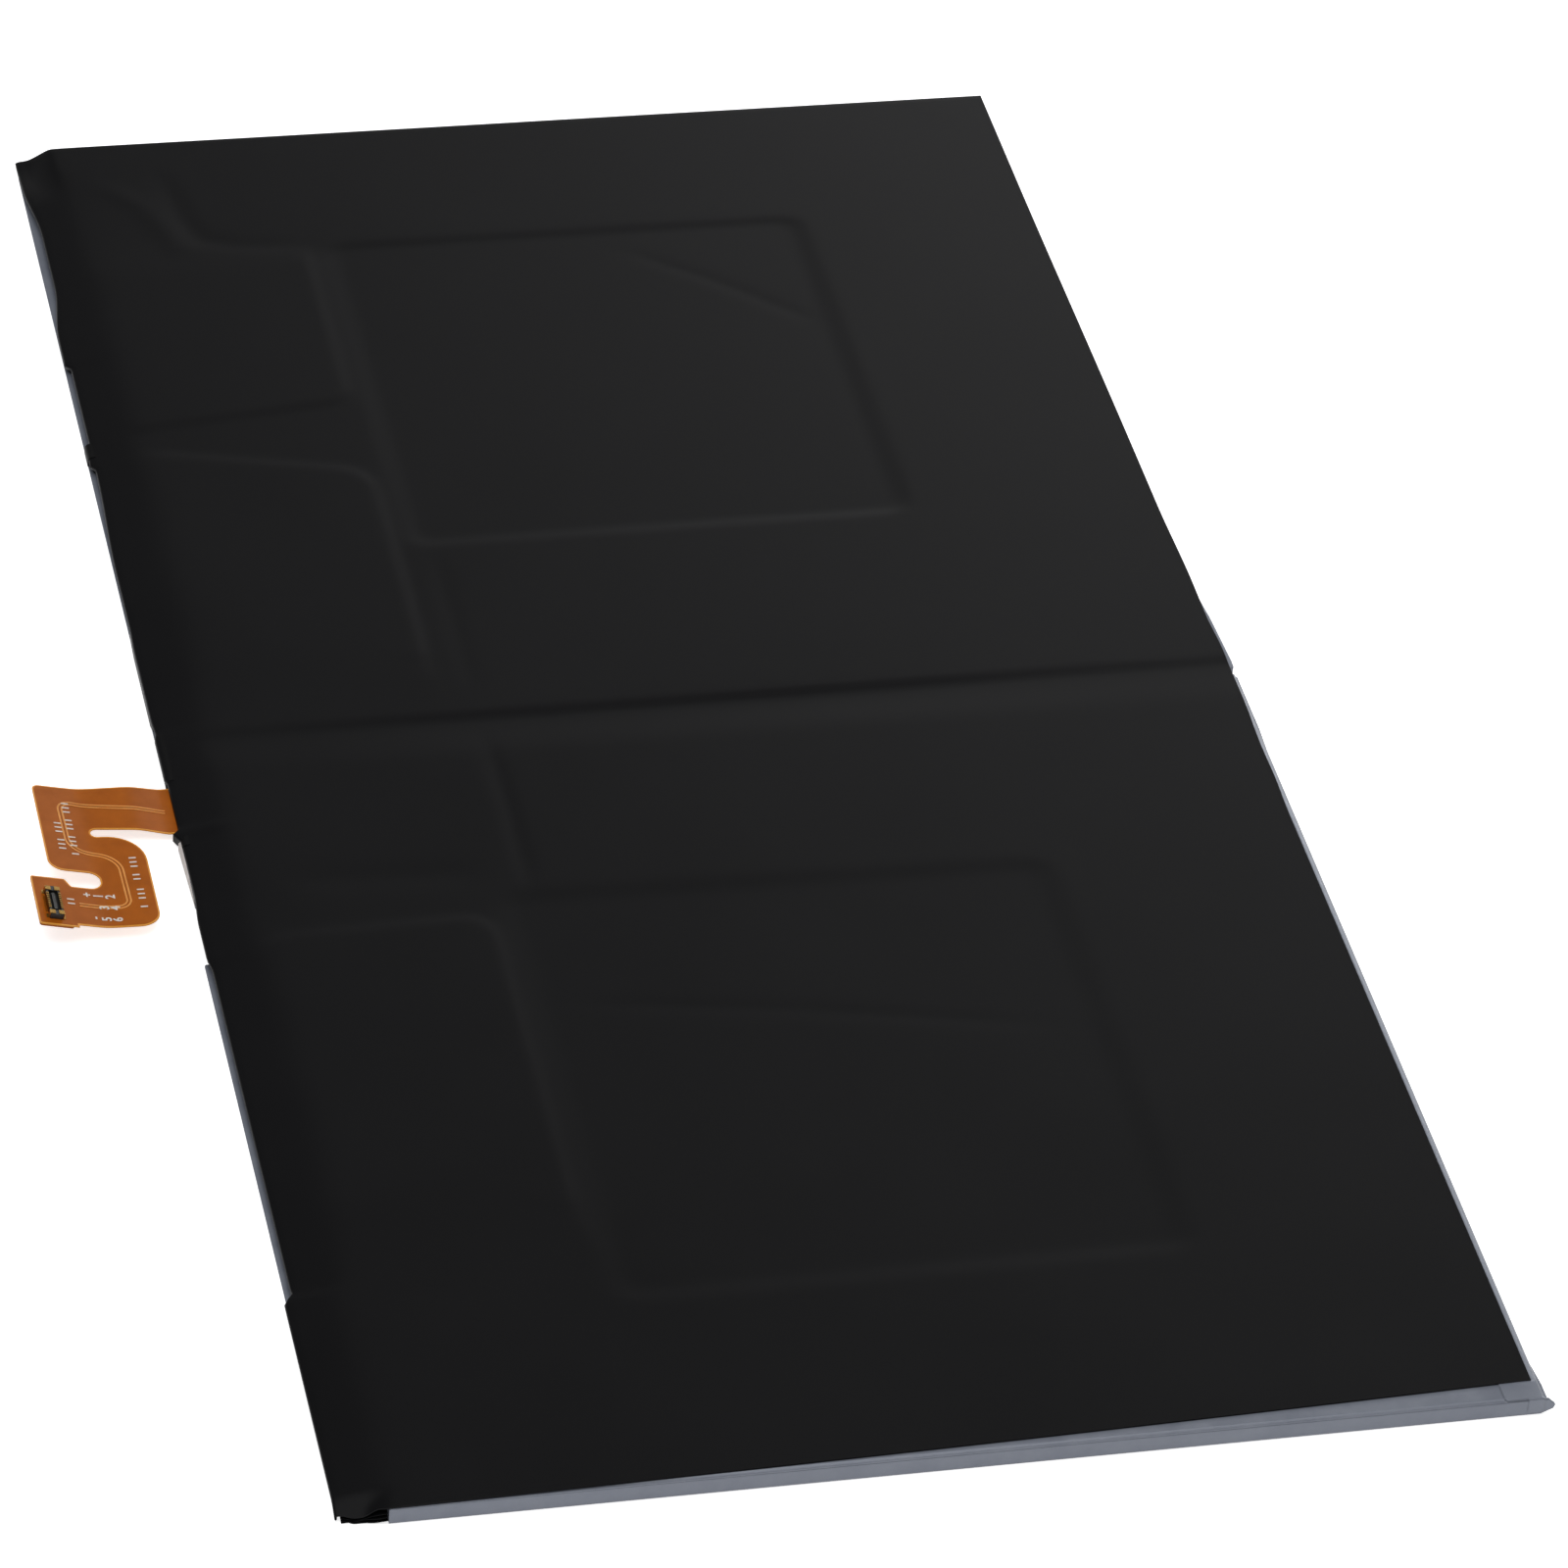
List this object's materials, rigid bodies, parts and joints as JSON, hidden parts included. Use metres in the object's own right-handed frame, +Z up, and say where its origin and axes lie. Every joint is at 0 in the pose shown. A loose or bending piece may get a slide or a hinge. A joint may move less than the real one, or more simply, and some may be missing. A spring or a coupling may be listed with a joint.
{
  "type": "tablet battery",
  "caption": "Thin flat rechargeable battery pack of pouch cells under black film, with a short orange flex circuit and plug at one long side.",
  "frame": {"origin": "centre of the pack's underside, on the face it lies on", "axes": "+X away from the flex circuit's side, +Y along the pack's length towards its far end, +Z up out of the front film"},
  "size_m": [0.1427, 0.2481, 0.0041],
  "materials": {
    "black_film": "satin black polyester film",
    "black_tape": "satin black polyester tape",
    "pouch_laminate": "slate grey nylon-faced aluminium laminate, satin",
    "adhesive_tape": "matt adhesive tape",
    "foam": "soft closed-cell foam",
    "tab_sealant": "milky polypropylene film",
    "nickel": "rolled nickel",
    "tab_aluminium": "rolled aluminium",
    "board_laminate": "green solder mask",
    "chip_moulding": "black moulding compound",
    "capacitor_ceramic": "tan ceramic",
    "polyimide": "amber polyimide over copper",
    "solder": "bright solder",
    "plug_moulding": "black liquid crystal polymer",
    "gold_plate": "gold-plated copper alloy"
  },
  "bodies": {
    "root": {"back_film": "black_film", "board_backing_tape": "adhesive_tape", "cell_far": "pouch_laminate", "cell_near": "pouch_laminate", "charge_switch": "chip_moulding", "chip_capacitors": "capacitor_ceramic", "chip_resistors": "chip_moulding", "discharge_switch": "chip_moulding", "edge_tape_far": "black_tape", "edge_tape_flex_far": "black_tape", "edge_tape_flex_near": "black_tape", "edge_tape_near": "black_tape", "flex_circuit": "polyimide", "flex_solder_joints": "solder", "flex_stiffener": "polyimide", "front_film": "black_film", "gauge_chip": "chip_moulding", "negative_tab_far": "nickel", "negative_tab_near": "nickel", "negative_tab_sealant_far": "tab_sealant", "negative_tab_sealant_near": "tab_sealant", "negative_weld_plate_far": "nickel", "negative_weld_plate_near": "nickel", "plug_housing": "plug_moulding", "plug_power_contacts": "gold_plate", "plug_signal_contacts": "gold_plate", "positive_tab_far": "tab_aluminium", "positive_tab_near": "tab_aluminium", "positive_tab_sealant_far": "tab_sealant", "positive_tab_sealant_near": "tab_sealant", "positive_weld_plate_far": "nickel", "positive_weld_plate_near": "nickel", "protection_board": "board_laminate", "protection_chip": "chip_moulding", "seam_foam": "foam", "sense_resistor": "chip_moulding", "spacer_tape_far_inner": "adhesive_tape", "spacer_tape_far_outer": "adhesive_tape", "spacer_tape_near": "adhesive_tape", "thermal_fuse": "chip_moulding", "thermistor": "chip_moulding"}
  },
  "joints": []
}
